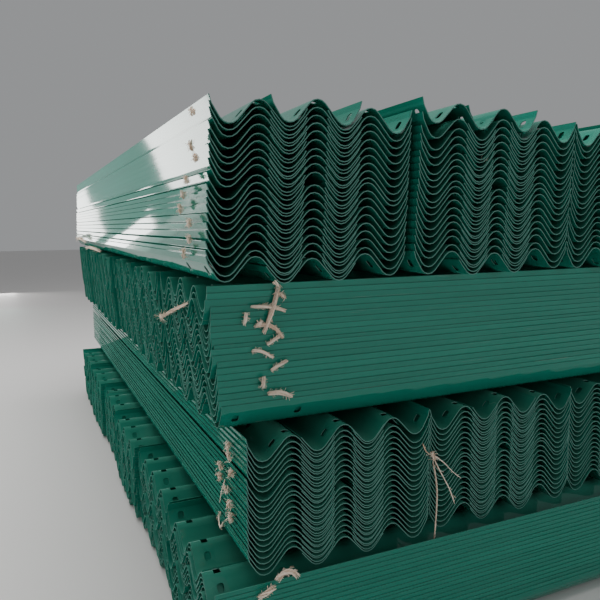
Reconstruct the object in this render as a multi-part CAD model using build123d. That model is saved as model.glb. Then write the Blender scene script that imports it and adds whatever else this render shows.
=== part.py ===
from build123d import *
from math import atan, cos, radians, sin, sqrt, tan
import os

os.makedirs("parts", exist_ok=True)

# A square pile of W-beam guardrail rails, four tiers high, each tier turned a quarter turn.
# Millimetres, +Z up, the floor at Z = 0 and the pile's plan centred on the origin.

# one rail, lying with its two humps down
rail_length = 4320.0
rail_width = 310.0
rail_depth = 76.0
sheet = 3.0
hump_pitch = 189.0
bend_radius = 32.0
lip_length = 23.0
lip_turn = 11.0
lip_bend_radius = 12.0

# how far an outer leg that no other rail holds in stands steeper than the flanks
free_leg = 9.5

# flats in each bend: of the first top rails, and of every other sheet
near_flats = 3
far_flats = 1

# how the rails nest: three columns share their valleys, one hump pitch apart
rows = 20
seat_gap = 0.3
pack_gap = 17.0
packs = 6
notch_depth = 5.0

# height that each sheet adds in a shared valley, in the three lower tiers, bottom first,
# and the slack between the loose sheets of the top tier
lower_rises = (8.65, 10.0, 10.15)
top_slack = 0.45

# where each tier lies, measured from the near left corner of the top tier, bottom first
along_x = (True, False, True, False)
end_shift = (0.0, -6.0, 32.0, 0.0)
side_shift = (-31.0, 110.0, 54.0, 0.0)

# how far each pack of a tier has slid along its rails, bottom tier first
slips = (
    (0.0, 10.0, -8.0, 12.0, -5.0, 6.0),
    (0.0, 25.0, 50.0, 60.0, 54.0, 40.0),
    (0.0, -6.0, 8.0, -10.0, 4.0, -4.0),
    (0.0, -25.0, -10.0, -20.0, 0.0, -12.0),
)

# how deep the open gaps between the sheets at a near end are, and how many a pack of each tier has
gap_depth = 28.0
openings_per_end = (1, 2, 1, 2)
whole_levels = 2

# slots at the near end of the first top rails
slot_along = 24.0
slot_across = 30.0
slot_rows = (50.0, 266.0)

# straw rope that hangs out between the rails
straw_radius = 9.0
straw_sway = 14.0
straw_bends = 5
straw_from_end = 200.0

# sizes that follow from the ones above
neutral_radius = bend_radius + sheet / 2
neutral_depth = rail_depth - sheet
half_pitch = hump_pitch / 2
over = 4 * neutral_radius - neutral_depth
flank_half = (half_pitch - sqrt(half_pitch**2 - over * neutral_depth)) / over
flank = 2 * atan(flank_half)
free = flank + radians(free_leg)
outer = (rail_width - hump_pitch) / 2
pack_width = rail_width + 2 * hump_pitch
pack_pitch = pack_width + pack_gap
tier_width = packs * pack_pitch - pack_gap
top_tier = len(lower_rises)
tiers = top_tier + 1
top_level = 2 * rows - 1
mid = sheet / 2


def leg_run(leg, offset):
    """Points of a hump's outer leg, out from the hump centre, at an offset from mid sheet."""
    lip = leg + radians(lip_turn)
    r_hump = neutral_radius - offset
    r_lip = lip_bend_radius - offset
    reach = outer - mid * sin(lip) - neutral_radius * sin(leg) - lip_bend_radius * (sin(lip) - sin(leg))
    straight = (reach - lip_length * cos(lip)) / cos(leg)
    hump_end = (r_hump * sin(leg), neutral_radius - r_hump * cos(leg))
    leg_end = (hump_end[0] + straight * cos(leg), hump_end[1] + straight * sin(leg))
    centre = (leg_end[0] - r_lip * sin(leg), leg_end[1] + r_lip * cos(leg))
    bend_end = (centre[0] + r_lip * sin(lip), centre[1] - r_lip * cos(lip))
    tip = (bend_end[0] + lip_length * cos(lip), bend_end[1] + lip_length * sin(lip))
    to_corner = r_lip * tan((lip - leg) / 2)
    corner = (leg_end[0] + to_corner * cos(leg), leg_end[1] + to_corner * sin(leg))
    return hump_end, corner, tip


def bend(centre, height, radius, up, left, right, flats):
    """Corners of the flats that touch the arc of a hump (up = -1) or a crest (up = 1)."""
    line = []
    for side, angle in ((-1, left), (1, right)):
        step = angle / (flats + 1)
        reach = radius / cos(step)
        turns = [step * (2 * k + 1) for k in range((flats + 1) // 2)]
        run = [(centre + side * reach * sin(a), height + up * reach * cos(a)) for a in turns]
        line += run[::-1] if side == -1 else run
    return line


def surface(humps, x, z, offset, flats, left, right):
    """Corner points of one face of a sheet, left to right, by its first hump and its two legs."""
    left_corner, left_tip = leg_run(left, offset)[1:]
    right_corner, right_tip = leg_run(right, offset)[1:]
    crest = neutral_depth - neutral_radius
    r_hump = neutral_radius - offset
    last = humps - 1
    line = [(x - left_tip[0], left_tip[1]), (x - left_corner[0], left_corner[1])]
    for k in range(humps):
        to_left = left if k == 0 else flank
        to_right = right if k == last else flank
        line += bend(x + k * hump_pitch, neutral_radius, r_hump, -1, to_left, to_right, flats)
        if k < last:
            middle = x + (k + 0.5) * hump_pitch
            line += bend(middle, crest, neutral_radius + offset, 1, flank, flank, flats)
    x_last = x + last * hump_pitch
    line += [(x_last + right_corner[0], right_corner[1]), (x_last + right_tip[0], right_tip[1])]
    return [(px, pz + z) for px, pz in line]


def widened(line, past):
    """The same line, drawn on level past both of its ends."""
    return [(line[0][0] - past, line[0][1])] + line + [(line[-1][0] + past, line[-1][1])]


def between(low_line, top_line):
    """The face between two lines that both run left to right."""
    return Face(Wire.make_polygon([Vector(*point) for point in low_line + top_line[::-1]], close=True))


# height of each sheet over the next in the top tier, so that a nested lip just clears the flank above
under = ((bend_radius + sheet) * sin(flank), neutral_radius - (bend_radius + sheet) * cos(flank))


def needed(point):
    """How far a sheet is raised for the underside of its flank to pass over a point of a lip."""
    return point[1] - under[1] - (point[0] - under[0]) * tan(flank)


lip_room = max(needed(leg_run(flank, -mid)[2]), needed(leg_run(flank, mid)[2]))
top_rise = lip_room + seat_gap / cos(flank) + top_slack
rises = lower_rises + (top_rise,)


def rail_face(x, z, flats, left, right):
    """End view of one rail."""
    return between(surface(2, x, z, -mid, flats, left, right), surface(2, x, z, mid, flats, left, right))


def column_face(x, z_low, z_top, left, right):
    """End view of a column of nested rails, from its lowest sheet to its highest."""
    low = surface(2, x, z_low, -mid, far_flats, left, right)
    top = surface(2, x, z_top, mid, far_flats, left, right)
    left_tip = leg_run(left, -mid)[2]
    right_tip = leg_run(right, -mid)[2]
    left_end = (x - left_tip[0], z_top + left_tip[1])
    right_end = (x + hump_pitch + right_tip[0], z_top + right_tip[1])
    return between(low, [left_end] + top + [right_end])


def notches(x, side, z_low, step, count):
    """Gaps between neighbouring rail edges down one side of a pack."""
    cuts = []
    for k in range(count):
        z = z_low + step * k
        corners = [(x - side, z), (x + side * notch_depth, z + step / 2), (x - side, z + step - sheet)]
        cuts.append(Face(Wire.make_polygon([Vector(*c) for c in corners], close=True)))
    return cuts


def pack_face(tier, place):
    """Section of one pack: x from 0 to its width, z from 0 at its lowest hump."""
    rise = rises[tier]
    full = top_level - 2 if tier == top_tier else top_level
    low, high = mid + rise, mid + (full - 1) * rise
    face = column_face(outer + hump_pitch, mid, mid + full * rise, flank, flank)
    face += column_face(outer, low, high, free, flank)
    face += column_face(outer + 2 * hump_pitch, low, high, flank, free)
    if tier == top_tier:
        flats = near_flats if place == "first" else far_flats
        block = surface(4, outer, mid + top_level * rise / 2, -mid, flats, free, free)
        seat = surface(4, outer, mid + (top_level - 1) * rise - seat_gap, -mid, flats, free, free)
        face += between(block, seat)
    z_edge = mid + rise + leg_run(free, mid)[2][1]
    count = (full - 1) // 2
    if place == "first":
        for cut in notches(0, 1, z_edge, 2 * rise, count):
            face -= cut
    if place == "last":
        for cut in notches(pack_width, -1, z_edge, 2 * rise, count):
            face -= cut
    return face


def gap_faces(tier):
    """The wavy gaps that open between sheets at the near end of a pack, seen from its end."""
    high = top_level - whole_levels - (1 if tier == top_tier else 0)
    step = (high - whole_levels) / openings_per_end[tier]
    gaps = []
    for k in range(openings_per_end[tier]):
        z_low = mid + (whole_levels + k * step) * rises[tier]
        z_top = z_low + step * rises[tier]
        low = surface(4, outer, z_low, mid, far_flats, free, free)
        top = surface(4, outer, z_top, -mid, far_flats, free, free)
        gaps.append(between(widened(low, sheet), widened(top, sheet)))
    return gaps


def pack_solid(tier, place):
    """One pack, drawn out along its rails, with the gaps at its near end open."""
    pack = extrude(pack_face(tier, place), amount=rail_length, dir=(0, 0, 1))
    start = -sheet if along_x[tier] else rail_length - gap_depth
    for gap in gap_faces(tier):
        pack -= Pos(0, 0, start) * extrude(gap, amount=gap_depth + sheet, dir=(0, 0, 1))
    return pack


def set_down(solid, tier, pack):
    """Lay a solid drawn from its end view in its place in the pile."""
    along = end_shift[tier] + slips[tier][pack]
    side = side_shift[tier] + pack * pack_pitch
    if along_x[tier]:
        turned = Plane(origin=(0, 0, 0), x_dir=(0, 1, 0), z_dir=(1, 0, 0)).location * solid
        return Pos(along + centre_x, side + centre_y, foot[tier]) * turned
    turned = Plane(origin=(0, 0, 0), x_dir=(1, 0, 0), z_dir=(0, -1, 0)).location * solid
    return Pos(side + centre_x, along + rail_length + centre_y, foot[tier]) * turned


# the foot of each tier, and the shift that centres the plan on the origin
tier_heights = [rail_depth + top_level * rise for rise in rises]
foot = [sum(tier_heights[:k]) + k * seat_gap for k in range(tiers)]
straw_flat = straw_radius * cos(radians(30))
straw_clear = straw_flat + seat_gap
end_low = [end_shift[k] + min(slips[k]) for k in range(tiers)]
end_high = [end_shift[k] + max(slips[k]) + rail_length for k in range(tiers)]
side_high = [side_shift[k] + tier_width for k in range(tiers)]
lows_x = [end_low[k] if along_x[k] else side_shift[k] for k in range(tiers)]
highs_x = [end_high[k] if along_x[k] else side_high[k] for k in range(tiers)]
lows_y = [side_shift[k] if along_x[k] else end_low[k] for k in range(tiers)]
highs_y = [side_high[k] if along_x[k] else end_high[k] for k in range(tiers)]
lows_x.append(side_shift[top_tier] - straw_clear - straw_flat)
centre_x = -(min(lows_x) + max(highs_x)) / 2
centre_y = -(min(lows_y) + max(highs_y)) / 2

for tier in range(tiers):
    solids = {place: pack_solid(tier, place) for place in ("first", "between", "last")}
    for n in range(packs):
        place = "first" if n == 0 else "last" if n == packs - 1 else "between"
        export_step(set_down(solids[place], tier, n), f"parts/tier_{tier + 1}_pack_{n + 1}.step")

# the top rails of the top tier, one open sheet each: two outer rails, then the middle one over both
outer_z = mid + (top_level - 1) * top_rise
inner_z = outer_z + top_rise


def slot(centre, facing):
    """An eight-sided slot, long across the rail, that cuts through a sheet at a point."""
    outline = chamfer(Rectangle(slot_along, slot_across).vertices(), slot_along * 0.3)
    return extrude(Plane(origin=centre, x_dir=(0, 0, 1), z_dir=facing) * outline, amount=2 * sheet, both=True)


def slotted(rail, x, z, left, right):
    """Splice slots through both flanks and both legs of a rail, and one through its crest."""
    legs = []
    for angle in (left, right):
        hump_end, corner = leg_run(angle, 0)[:2]
        legs.append(((hump_end[0] + corner[0]) / 2, (hump_end[1] + corner[1]) / 2))
    flank_mid = (half_pitch / 2, neutral_depth / 2)
    last = x + hump_pitch
    places = (
        (x - legs[0][0], legs[0][1], (sin(left), cos(left), 0)),
        (x + flank_mid[0], flank_mid[1], (-sin(flank), cos(flank), 0)),
        (last - flank_mid[0], flank_mid[1], (sin(flank), cos(flank), 0)),
        (last + legs[1][0], legs[1][1], (-sin(right), cos(right), 0)),
    )
    for across, up, facing in places:
        for row in slot_rows:
            rail -= slot((across, z + up, rail_length - row), facing)
    return rail - slot((x + half_pitch, z + neutral_depth, rail_length - slot_rows[0]), (0, 1, 0))


columns = (
    (outer, outer_z, free, flank),
    (outer + 2 * hump_pitch, outer_z, flank, free),
    (outer + hump_pitch, inner_z, free, free),
)
for n in range(packs):
    flats = near_flats if n == 0 else far_flats
    rails = []
    for x, z, left, right in columns:
        rail = extrude(rail_face(x, z, flats, left, right), amount=rail_length, dir=(0, 0, 1))
        if n == 0:
            rail = slotted(rail, x, z, left, right)
        rails.append(set_down(rail, top_tier, n))
    export_step(Compound(children=rails), f"parts/top_rails_{n + 1}.step")


def straw_rope(x, y, tier, along):
    """A hank of straw, six-sided, that hangs down the face of a tier and sways along it."""
    run = tier_heights[tier] - rail_depth
    low = foot[tier] + rail_depth / 2
    points = []
    for k in range(straw_bends + 1):
        sway = straw_sway * (1 if k % 2 else -1)
        points.append((x + sway * along[0], y + sway * along[1], low + run * k / straw_bends))
    path = Polyline(*points)
    start = Plane(origin=path @ 0, x_dir=(along[0], along[1], 0), z_dir=path % 0)
    return sweep(start * RegularPolygon(straw_radius, 6), path=path, transition=Transition.RIGHT)


# straw down the near left side of the top tier, the front of the tier below it and the next side
side_x = side_shift[3] + centre_x - straw_clear
side_y = end_shift[3] + centre_y + straw_from_end
export_step(straw_rope(side_x, side_y, 3, (0, 1)), "parts/straw_rope_top_side.step")

front_y = side_shift[2] + centre_y - straw_clear
front_x = end_shift[2] + centre_x + straw_from_end
export_step(straw_rope(front_x, front_y, 2, (1, 0)), "parts/straw_rope_front.step")

low_side_x = side_shift[1] + centre_x - straw_clear
low_side_y = end_shift[1] + centre_y + straw_from_end
export_step(straw_rope(low_side_x, low_side_y, 1, (0, 1)), "parts/straw_rope_low_side.step")
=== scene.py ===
from math import asin, atan, cos, pi, radians, sin, sqrt, tau
from random import Random

import bmesh
import bpy
from bpy.props import FloatProperty, FloatVectorProperty, IntProperty, PointerProperty
from bpy.types import Operator, Panel, PropertyGroup
from mathutils import Matrix, Vector


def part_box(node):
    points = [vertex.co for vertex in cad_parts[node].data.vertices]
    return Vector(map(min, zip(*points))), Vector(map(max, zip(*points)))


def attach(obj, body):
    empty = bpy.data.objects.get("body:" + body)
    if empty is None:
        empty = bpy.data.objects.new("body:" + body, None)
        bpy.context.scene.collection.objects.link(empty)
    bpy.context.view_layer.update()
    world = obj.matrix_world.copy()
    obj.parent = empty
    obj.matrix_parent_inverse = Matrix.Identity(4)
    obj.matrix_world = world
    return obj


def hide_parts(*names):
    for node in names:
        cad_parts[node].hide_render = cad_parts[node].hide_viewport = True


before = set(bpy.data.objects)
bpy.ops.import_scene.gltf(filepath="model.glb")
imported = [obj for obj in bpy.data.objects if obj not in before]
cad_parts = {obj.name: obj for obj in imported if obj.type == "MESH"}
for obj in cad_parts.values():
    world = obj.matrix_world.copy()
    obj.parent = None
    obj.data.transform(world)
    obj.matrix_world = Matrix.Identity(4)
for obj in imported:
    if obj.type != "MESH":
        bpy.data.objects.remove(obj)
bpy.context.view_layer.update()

bl_info = {
    "name": "Guardrail Pile",
    "version": (1, 0, 0),
    "blender": (4, 5, 0),
    "location": "View3D > Sidebar > Guardrail Pile",
    "description": "Nested W-beam rails, straw packing and finishes around the packed model",
    "category": "Object",
}

TIERS = 4
PACKS = 6
COLUMN_NAMES = ("left", "middle", "right")
ROWS = 20
TOP_LEVEL = 2 * ROWS - 1

# levels of a pack's sheets, counted up from its foot, that belong to the middle and the outer columns
MIDDLE_LEVELS = [*range(0, ROWS - 1, 2), *range(ROWS + 1, TOP_LEVEL + 1, 2)]
OUTER_LEVELS = [*range(1, ROWS, 2), *range(ROWS, TOP_LEVEL, 2)]

# an outer rail lies close on the middle one below it, and the next middle one a longer step above
UNDER_OUTER = [k - 1 for k in OUTER_LEVELS if k != ROWS]
TIGHT, LOOSE = 0.72, 1.28

# rails that lie loose: tier, pack, column and level, how far the hump on the low side rises, and how far
# the whole rail does
LOOSE_RAILS = {
    (4, 1, 0, 15): (-0.0066, 0.0), (4, 1, 0, 17): (-0.0088, 0.0), (4, 1, 0, 19): (-0.0135, 0.0),
    (4, 1, 0, 22): (0.0145, 0.0), (4, 1, 0, 24): (0.0105, 0.0), (4, 1, 0, 26): (0.0100, 0.0),
    (4, 1, 0, 28): (0.0086, 0.0), (4, 1, 0, 34): (0.0105, 0.0), (4, 1, 0, 36): (0.0059, 0.0),
    (4, 2, 0, 38): (0.010, 0.026), (4, 2, 1, 39): (0.0, 0.014), (4, 2, 0, 36): (0.012, 0.0),
    (4, 3, 2, 38): (-0.008, 0.012), (2, 1, 2, 38): (-0.006, 0.006),
    **{(2, 1, 0, level): (0.007, 0.0) for level in range(28, TOP_LEVEL, 2)},
}


class RailSettings(PropertyGroup):
    """Sizes of one rail."""

    length: FloatProperty(
        name="Length", description="Length of a rail", default=4.32, min=0.5, unit="LENGTH"
    )
    width: FloatProperty(
        name="Width", description="Width over both lips", default=0.310, min=0.1, unit="LENGTH"
    )
    depth: FloatProperty(
        name="Depth", description="Depth from hump to crest", default=0.076, min=0.03, unit="LENGTH"
    )
    sheet: FloatProperty(
        name="Sheet", description="Thickness of the sheet", default=0.003, min=0.001, unit="LENGTH"
    )
    hump_pitch: FloatProperty(
        name="Hump pitch", description="From hump to hump", default=0.189, min=0.05, unit="LENGTH"
    )
    bend_radius: FloatProperty(
        name="Bend radius", description="Inner radius of the bends", default=0.032, min=0.002, unit="LENGTH"
    )
    bend_steps: IntProperty(name="Bend steps", description="Flats in each bend", default=4, min=2, max=16)
    lip_length: FloatProperty(
        name="Lip", description="Length of the turned lip", default=0.023, min=0.001, unit="LENGTH"
    )
    lip_radius: FloatProperty(
        name="Lip bend", description="Mid-sheet radius of the lip's bend", default=0.012, min=0.003,
        unit="LENGTH",
    )
    lip_turns: FloatVectorProperty(
        name="Lip turns", description="How far a free lip turns up from its leg, by tier from the floor up",
        size=4, default=(radians(22.5), radians(17), radians(22.5), radians(15)), subtype="NONE",
        unit="ROTATION",
    )
    nested_turn: FloatProperty(
        name="Nested lip turn", description="How far a nested lip turns up at most", default=radians(11),
        min=0.0, unit="ROTATION",
    )
    free_leg: FloatProperty(
        name="Free leg",
        description="How far a leg that no other rail holds in stands steeper than the flanks",
        default=radians(9.5), min=0.0, unit="ROTATION",
    )
    nest_play: FloatProperty(
        name="Nest play", description="Gap left over a nested lip", default=0.0005, min=0.0, unit="LENGTH"
    )
    slot_along: FloatProperty(
        name="Slot along", description="Slot size along the rail", default=0.024, min=0.005, unit="LENGTH"
    )
    slot_across: FloatProperty(
        name="Slot across", description="Slot size across the rail", default=0.030, min=0.005, unit="LENGTH"
    )
    slot_first: FloatProperty(
        name="First slots", description="First slots from the rail's end", default=0.050, min=0.02,
        unit="LENGTH",
    )
    slot_second: FloatProperty(
        name="Second slots", description="Second slots from the rail's end", default=0.266, min=0.1,
        unit="LENGTH",
    )


class PileSettings(PropertyGroup):
    """How loosely the rails lie."""

    seed: IntProperty(name="Seed", description="Seed of the random play", default=7, min=0)
    end_play: FloatVectorProperty(
        name="End play", description="How far rail ends stray along the rail, by tier from the floor up",
        size=4, default=(0.010, 0.0025, 0.006, 0.0025), subtype="NONE", unit="LENGTH",
    )
    rise_play: FloatVectorProperty(
        name="Rise play", description="Share by which the height between sheets strays, by tier",
        size=4, default=(0.08, 0.12, 0.10, 0.22), subtype="NONE",
    )
    side_play: FloatVectorProperty(
        name="Side play", description="How far rails stray sideways, by tier",
        size=4, default=(0.0004, 0.0006, 0.0006, 0.0009), subtype="NONE", unit="LENGTH",
    )
    tip_play: FloatVectorProperty(
        name="Tip play", description="How far rails tip, by tier",
        size=4, default=(radians(0.1), radians(0.2), radians(0.2), radians(0.45)), subtype="NONE",
        unit="ROTATION",
    )
    end_lean: FloatVectorProperty(
        name="End lean",
        description="How far a tier's ends lean along the rails for each metre of height, by tier",
        size=4, default=(0.0, 0.0, -0.085, 0.0), subtype="NONE",
    )
    lean: FloatProperty(
        name="Lean", description="How far the top tier leans along X for each metre of height",
        default=0.048,
    )


class CoatSettings(PropertyGroup):
    """Colours and gloss of the powder coat."""

    colour: FloatVectorProperty(
        name="Coat", description="Colour of the powder coat", subtype="COLOR", size=3, min=0, max=1,
        default=(0.002, 0.195, 0.134),
    )
    # the cut edges' colour is partly the thin coat they really have and partly a painted highlight that
    # makes them lighter than the sheet
    edge_coat_and_highlight: FloatVectorProperty(
        name="Cut edge", description="Colour of the thinly coated cut edges, lightened as a painted highlight", subtype="COLOR", size=3,
        min=0, max=1, default=(0.11, 0.25, 0.21),
    )
    dust_colour: FloatVectorProperty(
        name="Dust", description="Colour of settled dust", subtype="COLOR", size=3, min=0, max=1,
        default=(0.30, 0.36, 0.30),
    )
    roughness: FloatProperty(
        name="Roughness", description="Roughness of the coat", default=0.22, min=0, max=1
    )


class StrawSettings(PropertyGroup):
    """Straw packing caught between the rails."""

    stalk_radius: FloatProperty(
        name="Stalk radius", description="Radius of one stalk", default=0.0015, min=0.0003, unit="LENGTH"
    )
    pale: FloatVectorProperty(
        name="Pale straw", description="Colour of the palest stalks", subtype="COLOR", size=3, min=0, max=1,
        default=(1.0, 0.86, 0.72),
    )
    dark: FloatVectorProperty(
        name="Dark straw", description="Colour of the darkest stalks", subtype="COLOR", size=3, min=0,
        max=1, default=(0.66, 0.46, 0.32),
    )


class StageSettings(PropertyGroup):
    """Camera, floor and lights."""

    camera_offset: FloatVectorProperty(
        name="Camera", description="Camera from the near left foot of the top tier", size=3,
        subtype="TRANSLATION", unit="LENGTH", default=(-0.486, -1.749, 0.1785),
    )
    heading: FloatProperty(
        name="Heading", description="Camera heading to the right of +Y", default=radians(24.25),
        unit="ROTATION",
    )
    pitch: FloatProperty(
        name="Pitch", description="Camera pitch below level", default=radians(6.91), unit="ROTATION"
    )
    roll: FloatProperty(name="Roll", description="Camera roll", default=radians(-0.45), unit="ROTATION")
    lens: FloatProperty(name="Lens", description="Focal length on a 36 mm sensor", default=37.236, min=5)
    key_power: FloatProperty(
        name="Key", description="Power of the left window light in watts", default=175, min=0
    )
    window_power: FloatProperty(
        name="Far windows", description="Power of the windows beyond the pile's left side in watts",
        default=150, min=0,
    )
    haze_power: FloatProperty(
        name="Haze", description="Power of the green light beyond the pile in watts", default=14, min=0
    )
    fill_power: FloatProperty(
        name="Fill", description="Power of the front light in watts", default=110, min=0
    )
    sky_power: FloatProperty(
        name="Roof", description="Power of the roof light in watts", default=640, min=0
    )
    world_strength: FloatProperty(
        name="World", description="Strength of the even light", default=0.36, min=0
    )


# materials

# grain of the coat's patterns, per metre along a rail and across it, and from rail to rail
CLOUD_GRAIN = (1.3, 9.0, 1.0)
PEEL_GRAIN = (260.0, 260.0, 1.0)
DRAG_GRAIN = (2.2, 420.0, 1.0)
PATCH_GRAIN = (5.0, 22.0, 1.0)
RAIL_SHIFT = 37.0

# how the coat's value, gloss, scuffs and dust vary over a rail and from rail to rail
CLOUD_VALUE = (0.80, 1.20)
OWN_VALUE = (0.94, 1.06)
PATCH_ROUGHNESS = (-0.05, 0.10)
DRAG_STOPS = ((0.66, 0.0), (0.74, 1.0))
PATCH_STOPS = ((0.50, 0.0), (0.66, 1.0))
DUST_SLOPE, DUST_SHARE, DUST_ROUGHNESS = 0.35, 0.30, 0.45
PEEL_SHARE = 0.5
PEEL_STRENGTH, PEEL_HEIGHT = 0.12, 0.0004

COAT_WEIGHT, COAT_ROUGHNESS = 0.8, 0.05
COAT_WEAR, EDGE_WEAR = 0.55, 0.9
EDGE_ROUGHNESS = 0.45

STRAW_GRAIN = 190.0
STRAW_STOPS = (0.28, 0.50)
STRAW_ROUGHNESS = 0.75
STRAW_STRENGTH, STRAW_HEIGHT = 0.5, 0.0006


def new_group(name, inputs, outputs):
    """An empty shader node group with named sockets."""
    group = bpy.data.node_groups.new(name, "ShaderNodeTree")
    for label, kind, value in inputs:
        socket = group.interface.new_socket(name=label, in_out="INPUT", socket_type=kind)
        if value is not None:
            socket.default_value = value
    for label, kind in outputs:
        group.interface.new_socket(name=label, in_out="OUTPUT", socket_type=kind)
    return group, group.nodes.new("NodeGroupInput"), group.nodes.new("NodeGroupOutput")


def node(tree, kind, inputs=None, **settings):
    """A node with its settings, whose inputs are given as values or as sockets to link."""
    made = tree.nodes.new(kind)
    for name, value in settings.items():
        setattr(made, name, value)
    for key, value in (inputs or {}).items():
        if isinstance(value, bpy.types.NodeSocket):
            tree.links.new(value, made.inputs[key])
        else:
            made.inputs[key].default_value = value
    return made


def combine(tree, operation, first, second, **settings):
    """Two values or sockets joined by a math node."""
    return node(tree, "ShaderNodeMath", {0: first, 1: second}, operation=operation, **settings).outputs[0]


def spread(tree, value, low, high):
    """A value from 0 to 1 spread between two others."""
    return node(tree, "ShaderNodeMapRange", {"Value": value, "To Min": low, "To Max": high}).outputs[0]


def ramp(tree, factor, stops):
    """A colour ramp of grey stops, given as position and value."""
    made = node(tree, "ShaderNodeValToRGB", {"Fac": factor})
    elements = made.color_ramp.elements
    for k, (position, value) in enumerate(stops):
        element = elements[k] if k < 2 else elements.new(position)
        element.position = position
        element.color = (value, value, value, 1)
    return made.outputs["Color"]


def rail_space(tree):
    """Place along and across the rail, shifted by the rail's own tone so that no two rails match."""
    uv = node(tree, "ShaderNodeUVMap", uv_map="rail").outputs["UV"]
    tone = node(tree, "ShaderNodeAttribute", attribute_name="tone").outputs["Fac"]
    apart = node(tree, "ShaderNodeCombineXYZ", {"Z": tone}).outputs[0]
    far = node(tree, "ShaderNodeVectorMath", {0: apart, "Scale": RAIL_SHIFT}, operation="SCALE").outputs[0]
    return node(tree, "ShaderNodeVectorMath", {0: uv, 1: far}, operation="ADD").outputs[0], tone


def stretched_noise(tree, vector, scale, detail, rough=0.55):
    """Noise whose grain may be stretched, scale being its grain along, across and from rail to rail."""
    mapped = node(tree, "ShaderNodeMapping", {"Vector": vector, "Scale": scale})
    return node(
        tree, "ShaderNodeTexNoise",
        {"Vector": mapped.outputs[0], "Scale": 1.0, "Detail": detail, "Roughness": rough},
    ).outputs["Fac"]


def coat_group():
    """Colour, roughness and height of powder-coated sheet, shared by its faces and its cut edges."""
    group, source, result = new_group(
        "Powder coat",
        [
            ("Coat", "NodeSocketColor", (0.01, 0.17, 0.1, 1)),
            ("Dust", "NodeSocketColor", (0.3, 0.36, 0.3, 1)),
            ("Roughness", "NodeSocketFloat", 0.25),
            ("Wear", "NodeSocketFloat", 0.5),
        ],
        [("Color", "NodeSocketColor"), ("Roughness", "NodeSocketFloat"), ("Height", "NodeSocketFloat")],
    )
    place, tone = rail_space(group)
    cloud = stretched_noise(group, place, CLOUD_GRAIN, 3.0)
    fine = stretched_noise(group, place, PEEL_GRAIN, 2.0)
    drag = stretched_noise(group, place, DRAG_GRAIN, 2.0)
    patch = stretched_noise(group, place, PATCH_GRAIN, 4.0)

    value = combine(group, "MULTIPLY", spread(group, cloud, *CLOUD_VALUE), spread(group, tone, *OWN_VALUE))
    tinted = node(
        group, "ShaderNodeHueSaturation", {"Color": source.outputs["Coat"], "Value": value}
    ).outputs[0]

    scuff = combine(group, "MULTIPLY", ramp(group, drag, DRAG_STOPS), ramp(group, patch, PATCH_STOPS))
    scuff = combine(group, "MULTIPLY", scuff, source.outputs["Wear"])

    normal = node(group, "ShaderNodeNewGeometry").outputs["Normal"]
    facing = node(group, "ShaderNodeSeparateXYZ", {0: normal}).outputs["Z"]
    upward = node(group, "ShaderNodeMapRange", {"Value": facing, "From Min": DUST_SLOPE}).outputs[0]
    dust = combine(group, "MULTIPLY", combine(group, "MULTIPLY", upward, cloud), DUST_SHARE)
    cover = combine(group, "MAXIMUM", dust, scuff, use_clamp=True)
    # a Mix node's colour sockets share their names with those of its other types, so they go by place
    colour = node(
        group, "ShaderNodeMix", {0: cover, 6: tinted, 7: source.outputs["Dust"]}, data_type="RGBA"
    ).outputs[2]

    matt = combine(group, "MULTIPLY", cover, DUST_ROUGHNESS)
    rough = combine(group, "ADD", spread(group, patch, *PATCH_ROUGHNESS), matt)
    rough = combine(group, "ADD", rough, source.outputs["Roughness"], use_clamp=True)
    height = combine(group, "SUBTRACT", combine(group, "MULTIPLY", fine, PEEL_SHARE), scuff)
    group.links.new(colour, result.inputs["Color"])
    group.links.new(rough, result.inputs["Roughness"])
    group.links.new(height, result.inputs["Height"])
    return group


def shaded(name, build):
    """A material by name, made by build(tree, shader) where it doesn't exist yet."""
    found = bpy.data.materials.get(name)
    if found:
        return found
    made = bpy.data.materials.new(name)
    made.use_nodes = True
    tree = made.node_tree
    build(tree, tree.nodes["Principled BSDF"])
    return made


def coated(name, colour, roughness, wear, coat):
    """A powder-coated finish."""
    settings = bpy.context.scene.pile_coat

    def build(tree, shader):
        group = bpy.data.node_groups.get("Powder coat") or coat_group()
        dust = (*settings.dust_colour, 1)
        paint = node(
            tree, "ShaderNodeGroup",
            {"Coat": (*colour, 1), "Dust": dust, "Roughness": roughness, "Wear": wear}, node_tree=group,
        )
        bump = node(
            tree, "ShaderNodeBump",
            {"Height": paint.outputs["Height"], "Strength": PEEL_STRENGTH, "Distance": PEEL_HEIGHT},
        )
        tree.links.new(paint.outputs["Color"], shader.inputs["Base Color"])
        tree.links.new(paint.outputs["Roughness"], shader.inputs["Roughness"])
        tree.links.new(bump.outputs["Normal"], shader.inputs["Normal"])
        shader.inputs["Coat Weight"].default_value = coat
        shader.inputs["Coat Roughness"].default_value = COAT_ROUGHNESS
        shader.inputs["Specular IOR Level"].default_value = 0.0

    return shaded(name, build)


def rail_materials():
    """The coat of the sheet, and of its cut edges, whose lighter colour is partly their thin coat and
    partly a painted highlight.
    """
    settings = bpy.context.scene.pile_coat
    sheet = coated("Green powder coat", settings.colour, settings.roughness, COAT_WEAR, COAT_WEIGHT)
    edge = coated("Coated cut edge with painted highlight", settings.edge_coat_and_highlight, EDGE_ROUGHNESS, EDGE_WEAR, 0.0)
    return sheet, edge


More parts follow.
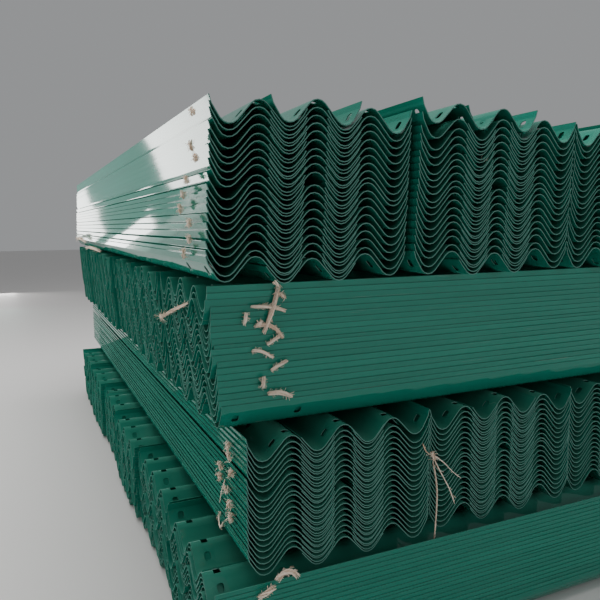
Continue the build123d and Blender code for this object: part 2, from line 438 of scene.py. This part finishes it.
def straw_material():
    """Dry straw, each stalk with its own tone."""
    settings = bpy.context.scene.pile_straw

    def build(tree, shader):
        tone = node(tree, "ShaderNodeAttribute", attribute_name="tone").outputs["Fac"]
        place = node(tree, "ShaderNodeTexCoord").outputs["Object"]
        grain = node(
            tree, "ShaderNodeTexNoise", {"Vector": place, "Scale": STRAW_GRAIN, "Detail": 3.0}
        ).outputs["Fac"]
        mean = combine(tree, "MULTIPLY", combine(tree, "ADD", tone, grain), 0.5)
        colours = node(tree, "ShaderNodeValToRGB", {"Fac": mean})
        low, high = colours.color_ramp.elements
        low.position, high.position = STRAW_STOPS
        low.color, high.color = (*settings.dark, 1), (*settings.pale, 1)
        bump = node(
            tree, "ShaderNodeBump", {"Height": grain, "Strength": STRAW_STRENGTH, "Distance": STRAW_HEIGHT}
        )
        tree.links.new(colours.outputs["Color"], shader.inputs["Base Color"])
        tree.links.new(bump.outputs["Normal"], shader.inputs["Normal"])
        shader.inputs["Roughness"].default_value = STRAW_ROUGHNESS

    return shaded("Dry straw", build)


# one rail

# material index of faces that are cut away
HOLE = 2

# share of the bend radius within which the crest's hole is cut, and of the slot that its corners round off
CREST_SHARE = 0.3
SLOT_ROUND = 0.34

# how a finished sheet's faces are told apart, and over which angles its edges are sharp
LIP_TOLERANCE = 0.001
RIM_THIN, RIM_THICK = 0.9, 1.1
END_FACING = 0.9
LIP_CREASE, CREASE = radians(4), radians(28)


def flank_angle(rail):
    """Slope of the straight flanks that join humps and crests of the set radius, pitch and depth."""
    mid = rail.bend_radius + rail.sheet / 2
    drop = rail.depth - rail.sheet
    half = rail.hump_pitch / 2
    over = 4 * mid - drop
    return 2 * atan((half - sqrt(half**2 - over * drop)) / over)


def run_to(bm, vert, x, z):
    """Extrude the last vertex of an end view to a point."""
    new = bmesh.ops.extrude_vert_indiv(bm, verts=[vert])["verts"][0]
    bmesh.ops.translate(bm, verts=[new], vec=Vector((x, 0, z)) - new.co)
    return new


def bend_round(bm, vert, x, z, angle, steps):
    """Spin the last vertex of an end view about a point."""
    last = bmesh.ops.spin(bm, geom=[vert], cent=(x, 0, z), axis=(0, 1, 0), angle=angle, steps=steps)
    return next(part for part in last["geom_last"] if isinstance(part, bmesh.types.BMVert))


def nested_turn(rail, rise):
    """How far a nested lip may turn up under a sheet that lies a given height above it."""
    room = rise * cos(flank_angle(rail)) - rail.sheet - rail.nest_play
    return min(rail.nested_turn, asin(max(0.0, room / rail.lip_length)))


def draw_leg(rail, leg, turn):
    """Centre of the lip's bend, and the tip, of a leg's under side.

    Both are measured out from the hump's centre and up from the hump.
    """
    lip = leg + turn
    half = rail.sheet / 2
    mid = rail.bend_radius + half
    reach = (rail.width - rail.hump_pitch) / 2 - half * sin(lip)
    spare = reach - mid * sin(leg) - rail.lip_radius * (sin(lip) - sin(leg)) - rail.lip_length * cos(lip)
    run = spare / cos(leg)
    centre_x = (mid - rail.lip_radius) * sin(leg) + run * cos(leg)
    centre_z = mid + half - (mid - rail.lip_radius) * cos(leg) + run * sin(leg)
    out = rail.lip_radius + half
    tip_x = centre_x + out * sin(lip) + rail.lip_length * cos(lip)
    tip_z = centre_z - out * cos(lip) + rail.lip_length * sin(lip)
    return (centre_x, centre_z), (tip_x, tip_z)


def draw_section(bm, rail, left, right):
    """Draw the under side of a rail's end view, lip to lip.

    The middle crest stands over X = 0 and the humps on Z = 0. Each side is given as the angle of its leg
    and the further turn of its lip.
    """
    flank = flank_angle(rail)
    hump_radius = rail.bend_radius + rail.sheet
    lip_out = rail.lip_radius + rail.sheet / 2
    crest_z = rail.depth - rail.sheet - rail.bend_radius
    first, last = -rail.hump_pitch / 2, rail.hump_pitch / 2
    (left_x, left_z), left_tip = draw_leg(rail, *left)
    (right_x, right_z), right_tip = draw_leg(rail, *right)

    def round_hump(vert, hump, start, end):
        vert = run_to(bm, vert, hump - hump_radius * sin(start), hump_radius * (1 - cos(start)))
        return bend_round(bm, vert, hump, hump_radius, -start - end, rail.bend_steps)

    vert = bm.verts.new((first - left_tip[0], 0, left_tip[1]))
    steep = sum(left)
    vert = run_to(bm, vert, first - left_x - lip_out * sin(steep), left_z - lip_out * cos(steep))
    vert = bend_round(bm, vert, first - left_x, left_z, -left[1], 1)
    vert = round_hump(vert, first, left[0], flank)
    vert = run_to(bm, vert, -rail.bend_radius * sin(flank), crest_z + rail.bend_radius * cos(flank))
    vert = bend_round(bm, vert, 0, crest_z, 2 * flank, rail.bend_steps)
    vert = round_hump(vert, last, flank, right[0])
    leg = right[0]
    vert = run_to(bm, vert, last + right_x + lip_out * sin(leg), right_z - lip_out * cos(leg))
    vert = bend_round(bm, vert, last + right_x, right_z, -right[1], 1)
    run_to(bm, vert, last + right_tip[0], right_tip[1])


def split(bm, face, y):
    """Cut one face across the rail, and give its two parts, the nearer first."""
    whole = [face, *face.edges, *face.verts]
    cut = bmesh.ops.bisect_plane(bm, geom=whole, dist=1e-6, plane_co=(0, y, 0), plane_no=(0, 1, 0))
    parts = [part for part in cut["geom"] if isinstance(part, bmesh.types.BMFace)]
    parts.sort(key=lambda part: part.calc_center_median().y)
    return parts[0], parts[-1]


def cut_slots(bm, rail):
    """Cut the splice slots through the four flanks, and a hole through the crest, at both ends."""
    flanks = [face for face in bm.faces if min(e.calc_length() for e in face.edges) > rail.slot_across]
    crest_half = rail.bend_radius * CREST_SHARE
    crest = [face for face in bm.faces if abs(face.calc_center_median().x) < crest_half]
    near = (rail.slot_first, rail.slot_second)
    places = (*near, rail.length - rail.slot_second, rail.length - rail.slot_first)
    for face in flanks:
        margin = (min(e.calc_length() for e in face.edges) - rail.slot_across) / 2
        for y in places:
            _, rest = split(bm, face, y - rail.slot_along / 2 - margin)
            window, face = split(bm, rest, y + rail.slot_along / 2 + margin)
            bmesh.ops.inset_individual(bm, faces=[window], thickness=margin, use_even_offset=True)
            window.material_index = HOLE
            bmesh.ops.bevel(
                bm, geom=window.verts[:], offset=rail.slot_along * SLOT_ROUND, offset_type="OFFSET",
                segments=2, profile=0.5, affect="VERTICES", material=0,
            )
    for face in crest:
        for y in (rail.slot_first, rail.length - rail.slot_first):
            _, rest = split(bm, face, y - rail.slot_along / 2)
            window, face = split(bm, rest, y + rail.slot_along / 2)
            window.material_index = HOLE
    holes = [face for face in bm.faces if face.material_index == HOLE]
    bmesh.ops.delete(bm, geom=holes, context="FACES")


def rail_mesh(rail, left, right, slotted):
    """One rail as a mesh: its end view drawn out, slotted, and given its thickness."""
    bm = bmesh.new()
    across = bm.verts.layers.float.new("across")
    bm.verts.layers.float.new("tone")
    draw_section(bm, rail, left, right)
    run, last = 0.0, None
    for vert in bm.verts:
        run += (vert.co - last.co).length if last else 0.0
        vert[across] = run
        last = vert
    drawn = bmesh.ops.extrude_edge_only(bm, edges=bm.edges[:])["geom"]
    ends = [part for part in drawn if isinstance(part, bmesh.types.BMVert)]
    bmesh.ops.translate(bm, verts=ends, vec=(0, rail.length, 0))
    bm.normal_update()
    if slotted:
        cut_slots(bm, rail)
    bmesh.ops.solidify(bm, geom=bm.faces[:], thickness=rail.sheet)
    bm.normal_update()
    uv = bm.loops.layers.uv.new("rail")
    lips = set()
    for face in bm.faces:
        shortest = min(edge.calc_length() for edge in face.edges)
        four_sided = len(face.edges) == 4
        if four_sided and abs(shortest - rail.lip_length) < LIP_TOLERANCE:
            lips.add(face)
        rim = four_sided and RIM_THIN * rail.sheet < shortest < RIM_THICK * rail.sheet
        # rim faces across the rail's ends take the cut edge material, lighter partly for their thin coat
        # and partly as a painted highlight
        face.material_index = 1 if rim and abs(face.normal.y) > END_FACING else 0
        face.smooth = not rim
        for loop in face.loops:
            loop[uv].uv = (loop.vert.co.y, loop.vert[across])
    for edge in bm.edges:
        crease = LIP_CREASE if any(face in lips for face in edge.link_faces) else CREASE
        edge.smooth = all(face.smooth for face in edge.link_faces) and edge.calc_face_angle(0) < crease
    mesh = bpy.data.meshes.new("rail pattern")
    bm.to_mesh(mesh)
    bm.free()
    return mesh


# the pile

# spread of the rails' ends, as a share of the tier's end play
END_SPREAD = 0.5


def runs_along_x(tier):
    return tier % 2 == 1


def pack_box(tier, pack):
    """Lowest and highest corners of a pack, with the top rails where those are a node of their own."""
    low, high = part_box(f"tier_{tier}_pack_{pack}")
    if tier == TIERS:
        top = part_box(f"top_rails_{pack}")[1]
        high = Vector(map(max, high, top))
    return low, high


def level_heights(foot, rise, play, random):
    """Height of each sheet of a pack, with the loose spacing that still adds up to the same height."""
    steps = [
        (TIGHT if k in UNDER_OUTER else LOOSE) + random.uniform(-play, play) for k in range(TOP_LEVEL)
    ]
    scale = rise * TOP_LEVEL / sum(steps)
    heights = [foot]
    for step in steps:
        heights.append(heights[-1] + step * scale)
    return heights


def rail_matrix(rail, low, along_x, column, height, tip, lean, stray, slip):
    """Where one rail lies: its end view turned, tipped about its shared hump and moved into the pack."""
    side = -1 if along_x else 1
    pivot = Vector((side * (1 - column) * rail.hump_pitch / 2, 0, rail.bend_radius + rail.sheet))
    tipped = Matrix.Translation(pivot) @ Matrix.Rotation(side * tip, 4, "Y") @ Matrix.Translation(-pivot)
    offset = rail.width / 2 + column * rail.hump_pitch + stray + lean
    if along_x:
        quarter = Matrix.Rotation(-pi / 2, 4, "Z")
        place = Matrix.Translation((low.x + slip, low.y + offset, height)) @ quarter
    else:
        place = Matrix.Translation((low.x + offset, low.y + slip, height))
    return place @ tipped


def join_pack(tier, pack, patterns):
    """One pack's rails as one object."""
    scene = bpy.context.scene
    rail, pile = scene.pile_rail, scene.pile_layout
    random = Random(pile.seed * 1000 + tier * 10 + pack)
    low, high = pack_box(tier, pack)
    along_x = runs_along_x(tier)
    rise = (high.z - low.z - rail.depth) / TOP_LEVEL
    heights = level_heights(low.z, rise, pile.rise_play[tier - 1], random)
    bm = bmesh.new()
    tone = bm.verts.layers.float.new("tone")
    bm.verts.layers.float.new("across")
    bm.loops.layers.uv.new("rail")
    # a rail laid along X has its right edge towards the viewer
    names = COLUMN_NAMES[::-1] if along_x else COLUMN_NAMES
    for column, name in enumerate(names):
        levels = MIDDLE_LEVELS if column == 1 else OUTER_LEVELS
        for level in levels:
            stray = random.uniform(-1, 1) * pile.side_play[tier - 1]
            slip = random.gauss(0, END_SPREAD) * pile.end_play[tier - 1]
            tip = random.uniform(-1, 1) * pile.tip_play[tier - 1]
            own = random.random()
            hump_rise, lift = LOOSE_RAILS.get((tier, pack, column, level), (0.0, 0.0))
            more_tip = hump_rise / rail.hump_pitch
            rise_here = heights[level] - low.z
            slip += pile.end_lean[tier - 1] * (rise_here - (high.z - low.z) / 2)
            lean = pile.lean * rise_here if tier == TIERS else 0.0
            exposed = level >= TOP_LEVEL - 1 or level <= 1
            capping = tier == TIERS and level == TOP_LEVEL
            start = len(bm.verts)
            bm.from_mesh(patterns["cap" if capping else name, exposed])
            bm.verts.ensure_lookup_table()
            fresh = bm.verts[start:]
            for vert in fresh:
                vert[tone] = own
            matrix = rail_matrix(
                rail, low, along_x, column, heights[level] + lift, tip + more_tip, lean, stray, slip
            )
            bmesh.ops.transform(bm, matrix=matrix, verts=fresh)
    mesh = bpy.data.meshes.new(f"rails_tier{tier}_pack{pack}")
    bm.to_mesh(mesh)
    bm.free()
    for material in rail_materials():
        mesh.materials.append(material)
    made = bpy.data.objects.new(mesh.name, mesh)
    scene.collection.objects.link(made)
    nodes = [f"tier_{tier}_pack_{pack}"] + ([f"top_rails_{pack}"] if tier == TIERS else [])
    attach(made, "root")
    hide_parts(*nodes)


class PILE_OT_rails(Operator):
    """Lay the rails of one tier, pack by pack"""

    bl_idname = "pile.rails"
    bl_label = "Rails"
    bl_options = {"REGISTER", "UNDO"}

    tier: IntProperty(name="Tier", description="Tier, counted from the floor", default=1, min=1, max=TIERS)

    def execute(self, context):
        rail = context.scene.pile_rail
        low, high = pack_box(self.tier, 1)
        rise = (high.z - low.z - rail.depth) / TOP_LEVEL
        flank = flank_angle(rail)
        free = (flank + rail.free_leg, rail.lip_turns[self.tier - 1])
        outer = (flank, nested_turn(rail, LOOSE * rise))
        middle = (flank, nested_turn(rail, TIGHT * rise))
        legs = {
            "left": (free, outer), "middle": (middle, middle), "right": (outer, free), "cap": (free, free),
        }
        patterns = {
            (name, slotted): rail_mesh(rail, *pair, slotted)
            for name, pair in legs.items() for slotted in (False, True)
        }
        for pack in range(1, PACKS + 1):
            join_pack(self.tier, pack, patterns)
        for mesh in patterns.values():
            bpy.data.meshes.remove(mesh)
        return {"FINISHED"}


# straw

# a stalk thins by this share towards its ends
STALK_TAPER = 0.45

# a wisp: shares of its thickness at which its stalks and hairs stand, and how far it bellies out midway
CORE_REACH, HAIR_REACH, BELLY = 0.42, 0.40, 0.4
HAIRS_PER_STALK = 2

# where stalks start and end and hairs start, as shares of the wisp, and how long a hair is
STALK_STARTS, STALK_ENDS = (0.0, 0.10), (0.90, 1.0)
HAIR_STARTS, HAIR_LENGTH = (0.0, 0.9), 0.05
STALK_SHARES = (0.0, 0.2, 0.4, 0.6, 0.8, 1.0)
HAIR_SHARES = (0.0, 0.35, 0.7, 1.0)

# how far a wisp twists, in radians, by which shares that strays, and the share of it that a hair follows
WISP_TWIST, TWIST_PLAY, HAIR_TWIST = 2.2, (0.6, 1.4), 0.1

# radii of stalks and hairs as shares of the stalk radius, and shares of the fray by which hairs stand off
STALK_SIZES, HAIR_SIZE = (0.6, 1.2), 0.4
FRAY_PLAY = (0.3, 1.3)

# any direction that no wisp runs along
ASIDE = (0.31, 0.52, 0.79)

# a tuft: how far its ends stray along the side, half its height, and its stalks
TUFT_LEAN = 0.010
TUFT_HALF_HEIGHTS = (0.011, 0.017)
TUFT_STALKS = (14, 20)


def stalk_mesh(points, radius):
    """One stalk as a thin tapering tube on a smooth curve."""
    curve = bpy.data.curves.new("stalk", "CURVE")
    curve.dimensions = "3D"
    curve.bevel_depth = 1.0
    curve.bevel_resolution = 0
    curve.resolution_u = 2
    curve.use_fill_caps = True
    spline = curve.splines.new("NURBS")
    spline.points.add(len(points) - 1)
    for k, (target, point) in enumerate(zip(spline.points, points)):
        target.co = (*point, 1)
        target.radius = radius * (1 - STALK_TAPER * abs(2 * k / (len(points) - 1) - 1) ** 3)
    spline.order_u = 3
    spline.use_endpoint_u = True
    holder = bpy.data.objects.new("stalk", curve)
    mesh = bpy.data.meshes.new_from_object(holder)
    bpy.data.objects.remove(holder)
    bpy.data.curves.remove(curve)
    return mesh


def along_path(points, share):
    """Point and direction at a share of the way along a run of points."""
    lengths = [(b - a).length for a, b in zip(points, points[1:])]
    left = share * sum(lengths)
    for a, b, length in zip(points, points[1:], lengths):
        if left <= length or b is points[-1]:
            return a.lerp(b, left / length), (b - a).normalized()
        left -= length


def wisp(bm, tone, points, thickness, stalks, fray, random):
    """A twisted wisp of straw along a run of points, with blunt ends and short hairs that stand off it."""
    radius = bpy.context.scene.pile_straw.stalk_radius
    for k in range((1 + HAIRS_PER_STALK) * stalks):
        hair = k >= stalks
        angle, out = random.uniform(0, tau), thickness * CORE_REACH * sqrt(random.random())
        twist = random.uniform(*TWIST_PLAY) * WISP_TWIST
        starts = random.uniform(*(HAIR_STARTS if hair else STALK_STARTS))
        ends = starts + HAIR_LENGTH if hair else random.uniform(*STALK_ENDS)
        flyaway = fray * random.uniform(*FRAY_PLAY)
        line = []
        for share in HAIR_SHARES if hair else STALK_SHARES:
            place, way = along_path(points, starts + (ends - starts) * share)
            side = way.cross(Vector(ASIDE)).normalized()
            other = way.cross(side)
            turn = angle + twist * share * (HAIR_TWIST if hair else 1.0)
            reach = thickness * HAIR_REACH + flyaway * share if hair else out
            line.append(place + (side * cos(turn) + other * sin(turn)) * reach)
        start = len(bm.verts)
        mesh = stalk_mesh(line, radius * (HAIR_SIZE if hair else random.uniform(*STALK_SIZES)))
        bm.from_mesh(mesh)
        bpy.data.meshes.remove(mesh)
        bm.verts.ensure_lookup_table()
        own = random.random()
        for vert in bm.verts[start:]:
            vert[tone] = own


def straw_piece(name, node_name, anchor, face, wisps, seed, off=0.0):
    """Straw wisps on one side of a tier as one object.

    A wisp is given as its thickness, its fray, its stalks and its run of points.
    """
    random = Random(seed)
    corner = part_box(anchor)[0]
    bm = bmesh.new()
    tone = bm.verts.layers.float.new("tone")
    for thickness, fray, stalks, run in wisps:
        points = []
        for k, (along, up) in enumerate(run):
            out = off + BELLY * thickness * (1 + sin(pi * k / (len(run) - 1)))
            place = (along, -out, up) if face == "front" else (-out, along, up)
            points.append(corner + Vector(place))
        wisp(bm, tone, points, thickness, stalks, fray, random)
    mesh = bpy.data.meshes.new(name)
    bm.to_mesh(mesh)
    bm.free()
    mesh.materials.append(straw_material())
    made = bpy.data.objects.new(name, mesh)
    bpy.context.scene.collection.objects.link(made)
    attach(made, "root")
    if node_name:
        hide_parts(node_name)


# straw on the front of the third tier, in metres along it and up it
FRONT_STRAW = (
    (0.016, 0.008, 26, ((0.219, 0.468), (0.204, 0.417), (0.186, 0.367), (0.164, 0.311))),
    (0.012, 0.008, 22, ((0.123, 0.400), (0.166, 0.400), (0.208, 0.393), (0.246, 0.379))),
    (0.011, 0.010, 12, ((0.221, 0.440), (0.232, 0.428), (0.242, 0.420))),
    (0.016, 0.010, 16, ((0.108, 0.384), (0.105, 0.364), (0.101, 0.344))),
    (0.013, 0.008, 22, ((0.132, 0.337), (0.173, 0.344), (0.211, 0.325), (0.232, 0.292))),
    (0.012, 0.008, 20, ((0.176, 0.276), (0.202, 0.294), (0.225, 0.303))),
    (0.012, 0.010, 14, ((0.141, 0.339), (0.152, 0.346), (0.161, 0.355))),
    (0.012, 0.008, 20, ((0.124, 0.261), (0.151, 0.261), (0.176, 0.248), (0.199, 0.233))),
    (0.013, 0.008, 22, ((0.188, 0.191), (0.214, 0.207), (0.247, 0.220))),
    (0.017, 0.010, 18, ((0.157, 0.138), (0.161, 0.158), (0.164, 0.177))),
    (0.016, 0.010, 26, ((0.174, 0.119), (0.205, 0.121), (0.236, 0.113), (0.263, 0.098))),
)

# straw down the left side of the top tier, and of the second tier, in metres along the side and up it
TOP_SIDE_STRAW = (
    (0.049, 0.504), (0.076, 0.412), (0.030, 0.372), (0.141, 0.316), (0.192, 0.276), (0.233, 0.233),
    (0.124, 0.187), (0.130, 0.138), (0.203, 0.092),
)
LOW_SIDE_STRAW = (
    (0.132, 0.405), (0.122, 0.372), (0.225, 0.302), (0.232, 0.262), (0.105, 0.322), (0.162, 0.243),
    (0.130, 0.205), (0.120, 0.165),
)

# a ring of straw and a long stalk on the left side of the second tier
LOW_SIDE_RING = (
    (0.013, 0.003, 14, ((0.262, 0.122), (0.280, 0.096), (0.262, 0.070), (0.232, 0.076), (0.222, 0.104))),
    (0.005, 0.003, 3, ((0.205, 0.262), (0.245, 0.205), (0.285, 0.140))),
)

# stalks that hang down the front of the second tier from between its first two packs
HANGING_STRAW = (
    (0.016, 0.012, 12, ((0.692, 0.318), (0.697, 0.302), (0.703, 0.284))),
    (0.006, 0.002, 4, ((0.695, 0.300), (0.708, 0.254), (0.722, 0.182), (0.719, 0.062), (0.709, -0.058))),
    (0.006, 0.010, 4, ((0.698, 0.300), (0.730, 0.240), (0.758, 0.196), (0.793, 0.128), (0.802, 0.098))),
    (0.005, 0.004, 3, ((0.700, 0.304), (0.745, 0.272), (0.790, 0.222), (0.828, 0.193))),
    (0.005, 0.008, 3, ((0.690, 0.304), (0.668, 0.320), (0.655, 0.352))),
)

# straw on the front of the lowest tier, near its left corner
LOW_FRONT_STRAW = (
    (0.022, 0.007, 24, ((0.196, 0.414), (0.210, 0.440), (0.243, 0.441), (0.270, 0.410))),
    (0.020, 0.008, 20, ((0.132, 0.370), (0.158, 0.388), (0.192, 0.397))),
)

# straw over the ends of the third tier's rails
END_STRAW = (
    (0.013, 0.006, 20, ((0.6, 0.301), (0.503, 0.327), (0.366, 0.358), (0.208, 0.398))),
    (0.024, 0.018, 14, ((0.630, 0.295), (0.600, 0.301), (0.570, 0.309))),
)

# how far that straw stands off the pack's face, past rail ends that lean out
END_STRAW_OFF = 0.014

# straw at the ends of the top tier's rails
TOP_FRONT_STRAW = (
    (0.016, 0.007, 12, ((0.990, 0.400), (1.006, 0.402), (1.020, 0.396))),
    (0.012, 0.006, 8, ((0.212, 0.010), (0.219, 0.002), (0.226, -0.006))),
)

# straw at the foot of the top tier's left side, towards its far end
FAR_SIDE_STRAW = (
    (0.024, 0.012, 16, ((2.420, 0.020), (2.900, 0.030), (3.400, 0.016))),
    (0.030, 0.016, 24, ((3.300, 0.060), (3.700, 0.085), (4.150, 0.070))),
)


def tufts(places, thickness, fray, random):
    """A short upright wisp at each place."""
    made = []
    for along, up in places:
        lean, height = random.uniform(-TUFT_LEAN, TUFT_LEAN), random.uniform(*TUFT_HALF_HEIGHTS)
        run = ((along - lean, up + height), (along, up), (along + lean, up - height))
        made.append((thickness, fray, random.randint(*TUFT_STALKS), run))
    return made


class PILE_OT_straw(Operator):
    """Hang the straw wisps out between the rails"""

    bl_idname = "pile.straw"
    bl_label = "Straw"
    bl_options = {"REGISTER", "UNDO"}

    def execute(self, context):
        random = Random(context.scene.pile_layout.seed)
        top_side = tufts(TOP_SIDE_STRAW, 0.017, 0.007, random)
        low_side = [*tufts(LOW_SIDE_STRAW, 0.022, 0.010, random), *LOW_SIDE_RING]
        straw_piece("straw_front", "straw_rope_front", "tier_3_pack_1", "front", FRONT_STRAW, 11)
        straw_piece("straw_top_side", "straw_rope_top_side", "tier_4_pack_1", "side", top_side, 12)
        straw_piece("straw_low_side", "straw_rope_low_side", "tier_2_pack_1", "side", low_side, 13)
        straw_piece("straw_hanging", None, "tier_2_pack_1", "front", HANGING_STRAW, 14)
        straw_piece("straw_low_front", None, "tier_1_pack_1", "front", LOW_FRONT_STRAW, 15)
        straw_piece("straw_end_side", None, "tier_3_pack_1", "side", END_STRAW, 16, END_STRAW_OFF)
        straw_piece("straw_top_front", None, "tier_4_pack_1", "front", TOP_FRONT_STRAW, 17)
        straw_piece("straw_far_side", None, "tier_4_pack_1", "side", FAR_SIDE_STRAW, 18)
        return {"FINISHED"}


# stage

FLOOR_HALF = 40
FLOOR_COLOUR, FLOOR_ROUGHNESS = (0.70, 0.68, 0.665, 1), 0.6
SKY_COLOUR = (0.86, 0.88, 0.90, 1)
SENSOR_WIDTH, CLIP_END = 36, 200

# lights beyond the pile: name, X, height, width and height of the light, and share of the windows' power
FAR_LIGHTS = (
    ("far window", -6.2, 1.7, (2.0, 3.0), 1.0),
    ("far door", -3.05, 1.15, (0.55, 1.2), 0.08),
    ("far floor gleam", -3.6, 0.2, (1.6, 0.35), 0.10),
)
FAR_Y = 12.0


def area_light(name, place, aim, size, power, colour, mirrored=True):
    """A soft rectangular light that faces a point, and may be mirrored in the coat."""
    light = bpy.data.lights.new(name, "AREA")
    light.shape = "RECTANGLE"
    light.size, light.size_y = size
    light.energy = power
    light.color = colour
    made = bpy.data.objects.new(name, light)
    made.location = place
    made.visible_camera = False
    made.visible_glossy = mirrored
    made.rotation_euler = (Vector(aim) - Vector(place)).to_track_quat("-Z", "Y").to_euler()
    bpy.context.scene.collection.objects.link(made)


class PILE_OT_stage(Operator):
    """Set the floor, the lights and the camera"""

    bl_idname = "pile.stage"
    bl_label = "Stage"
    bl_options = {"REGISTER", "UNDO"}

    def execute(self, context):
        scene = context.scene
        stage = scene.pile_stage
        bm = bmesh.new()
        bmesh.ops.create_grid(bm, x_segments=1, y_segments=1, size=FLOOR_HALF)
        mesh = bpy.data.meshes.new("floor")
        bm.to_mesh(mesh)
        bm.free()
        floor = bpy.data.objects.new("floor", mesh)
        scene.collection.objects.link(floor)

        def build(tree, shader):
            shader.inputs["Base Color"].default_value = FLOOR_COLOUR
            shader.inputs["Roughness"].default_value = FLOOR_ROUGHNESS

        mesh.materials.append(shaded("Pale floor", build))

        area_light(
            "left windows", place=(-8.5, 1.0, 3.0), aim=(0, 0, 0.8), size=(7, 3.5),
            power=stage.key_power, colour=(1, 0.99, 0.96),
        )
        for name, x, z, size, share in FAR_LIGHTS:
            area_light(name, (x, FAR_Y, z), (x, 0, z), size, share * stage.window_power, (1, 1, 0.98))
        area_light(
            "green haze", place=(-4.7, 9.0, 1.1), aim=(-4.7, 0, 1.1), size=(4.0, 2.1),
            power=stage.haze_power, colour=(0.30, 0.72, 0.58),
        )
        area_light(
            "front fill", place=(1.5, -9.0, 3.5), aim=(0, 0, 0.8), size=(7, 3),
            power=stage.fill_power, colour=(0.97, 0.99, 1),
        )
        area_light(
            "roof lights", place=(-1.0, 0.5, 7.0), aim=(0, 0, 0), size=(7, 7),
            power=stage.sky_power, colour=(1, 1, 1), mirrored=False,
        )

        world = bpy.data.worlds.new("even light")
        world.use_nodes = True
        background = world.node_tree.nodes["Background"]
        background.inputs["Color"].default_value = SKY_COLOUR
        background.inputs["Strength"].default_value = stage.world_strength
        scene.world = world

        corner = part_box("tier_4_pack_1")[0]
        camera = bpy.data.objects.new("camera", bpy.data.cameras.new("camera"))
        camera.data.sensor_width = SENSOR_WIDTH
        camera.data.lens = stage.lens
        camera.data.clip_end = CLIP_END
        turn = (
            Matrix.Rotation(-stage.heading, 4, "Z")
            @ Matrix.Rotation(pi / 2 - stage.pitch, 4, "X")
            @ Matrix.Rotation(stage.roll, 4, "Z")
        )
        camera.matrix_world = Matrix.Translation(corner + Vector(stage.camera_offset)) @ turn
        scene.collection.objects.link(camera)
        scene.camera = camera
        return {"FINISHED"}


class PILE_PT_panel(Panel):
    """The pieces of the pile"""

    bl_idname = "PILE_PT_panel"
    bl_label = "Guardrail Pile"
    bl_space_type = "VIEW_3D"
    bl_region_type = "UI"
    bl_category = "Guardrail Pile"

    def draw(self, context):
        scene = context.scene
        for setting in SETTINGS:
            group = getattr(scene, setting)
            box = self.layout.box()
            for name in group.__annotations__:
                box.prop(group, name)
        for tier in range(1, TIERS + 1):
            self.layout.operator("pile.rails", text=f"Rails of tier {tier}").tier = tier
        self.layout.operator("pile.straw")
        self.layout.operator("pile.stage")


CLASSES = (
    RailSettings, PileSettings, CoatSettings, StrawSettings, StageSettings,
    PILE_OT_rails, PILE_OT_straw, PILE_OT_stage, PILE_PT_panel,
)
SETTINGS = {
    "pile_rail": RailSettings,
    "pile_layout": PileSettings,
    "pile_coat": CoatSettings,
    "pile_straw": StrawSettings,
    "pile_stage": StageSettings,
}


def register():
    for cls in CLASSES:
        bpy.utils.register_class(cls)
    for name, cls in SETTINGS.items():
        setattr(bpy.types.Scene, name, PointerProperty(type=cls))


def unregister():
    for name in SETTINGS:
        delattr(bpy.types.Scene, name)
    for cls in reversed(CLASSES):
        bpy.utils.unregister_class(cls)


def main():
    register()
    for tier in range(1, TIERS + 1):
        bpy.ops.pile.rails(tier=tier)
    bpy.ops.pile.straw()
    bpy.ops.pile.stage()


if __name__ == "__main__":
    main()
